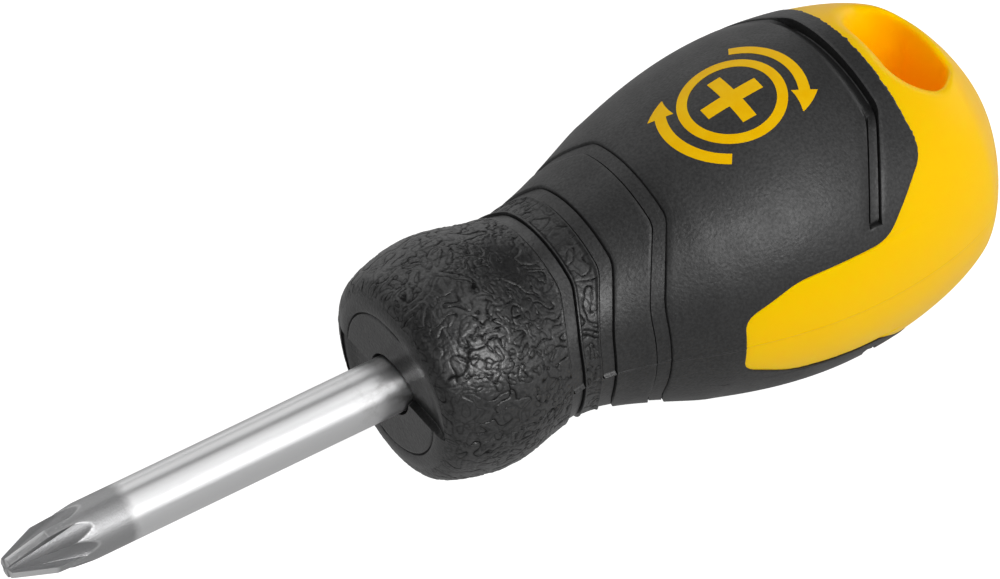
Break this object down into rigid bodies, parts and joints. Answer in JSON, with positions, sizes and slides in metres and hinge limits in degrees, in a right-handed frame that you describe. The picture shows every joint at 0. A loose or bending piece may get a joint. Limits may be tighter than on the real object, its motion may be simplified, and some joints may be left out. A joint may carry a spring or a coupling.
{
  "type": "stubby screwdriver",
  "caption": "Stubby cross-recess screwdriver: short round steel blade, hard core with a hanging hole in the butt, and a soft moulded grip with a textured front bulb.",
  "frame": {"origin": "centre of the blade's blunt end, on the blade axis", "axes": "+X along the blade axis from the tip to the butt; +Z out of the middle of the upper grip panel; the mould's parting plane is XY"},
  "size_m": [0.1151, 0.0358, 0.0358],
  "materials": {
    "steel": "satin chrome plate, with the last 13 mm at the tip blasted to a darker matt grey",
    "core_plastic": "semi-gloss injection-moulded polypropylene, warm yellow, slightly translucent",
    "grip_rubber": "soft matt thermoplastic rubber, fine spark-eroded surface, pebbled over the bulb"
  },
  "bodies": {
    "root": {"blade": "steel", "handle_core": "core_plastic", "grip": "grip_rubber"}
  },
  "joints": []
}
